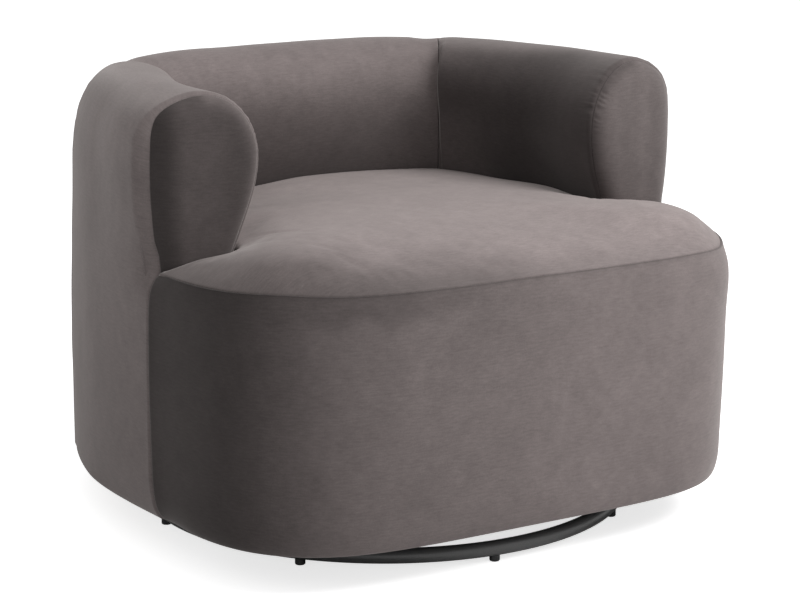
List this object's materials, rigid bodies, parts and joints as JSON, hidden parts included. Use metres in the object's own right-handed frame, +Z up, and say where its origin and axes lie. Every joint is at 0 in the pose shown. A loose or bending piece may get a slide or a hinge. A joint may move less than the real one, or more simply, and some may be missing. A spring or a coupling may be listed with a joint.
{
  "type": "cuddle chair",
  "caption": "Wide swivel barrel armchair with a T-shaped crowned seat, a deep rounded front border and a wrap-round padded wall, on a black round tube ring base.",
  "frame": {"origin": "on the floor, on the swivel axis, at the middle of the plan", "axes": "+X to the right as seen from in front, along the width; +Y towards the back; +Z up"},
  "size_m": [1, 0.93, 0.745],
  "materials": {
    "cover": "taupe grey velvet with a short cut pile",
    "ring_base": "semi-gloss black powder coat",
    "feet": "matte black",
    "bearing": "bright zinc plate",
    "timber": "plain unfinished board and panel",
    "foam": "open cell foam under the cover",
    "webbing": "woven elastic webbing",
    "dust_cloth": "matte black non-woven cloth"
  },
  "bodies": {
    "base": {"base_ring": "ring_base", "foot_1": "feet", "foot_2": "feet", "foot_3": "feet", "foot_4": "feet", "foot_5": "feet", "foot_6": "feet", "foot_7": "feet", "foot_8": "feet", "spoke_1": "ring_base", "spoke_2": "ring_base", "spoke_3": "ring_base", "spoke_4": "ring_base", "hub_plate": "ring_base", "lower_race": "bearing", "lower_bolt_1": "bearing", "lower_bolt_2": "bearing", "lower_bolt_3": "bearing", "lower_bolt_4": "bearing"},
    "cage": {"ball_cage": "bearing"},
    "seat": {"upper_race": "bearing", "mounting_screw_1": "bearing", "mounting_screw_2": "bearing", "mounting_screw_3": "bearing", "mounting_screw_4": "bearing", "riser_board": "timber", "base_board": "timber", "left_back_post": "timber", "right_back_post": "timber", "back_seat_rail": "timber", "front_board": "timber", "left_arm_front_board": "timber", "right_arm_front_board": "timber", "back_top_rail": "timber", "back_outer_panel": "timber", "left_arm_top_rail": "timber", "left_arm_outer_panel": "timber", "right_arm_top_rail": "timber", "right_arm_outer_panel": "timber", "dust_cover": "dust_cloth", "webbing_strap_1": "webbing", "webbing_strap_2": "webbing", "webbing_strap_3": "webbing", "webbing_strap_4": "webbing", "border_cover": "cover", "seat_cover": "cover", "back_cover": "cover", "left_arm_cover": "cover", "right_arm_cover": "cover", "left_arm_facing": "cover", "right_arm_facing": "cover", "border_foam": "foam", "seat_foam": "foam", "back_foam": "foam", "left_arm_foam": "foam", "right_arm_foam": "foam"}
  },
  "joints": [
    {"name": "swivel", "type": "hinge", "parent": "base", "child": "seat", "pos_m": [0, 0, 0.04235], "axis": [0, 0, 1], "continuous": true},
    {"name": "cage_roll", "type": "hinge", "parent": "base", "child": "cage", "pos_m": [0, 0, 0.04235], "axis": [0, 0, 1], "continuous": true}
  ],
  "couplings": [
    {"joint": "cage_roll", "follows": "swivel", "ratio": 0.5}
  ]
}
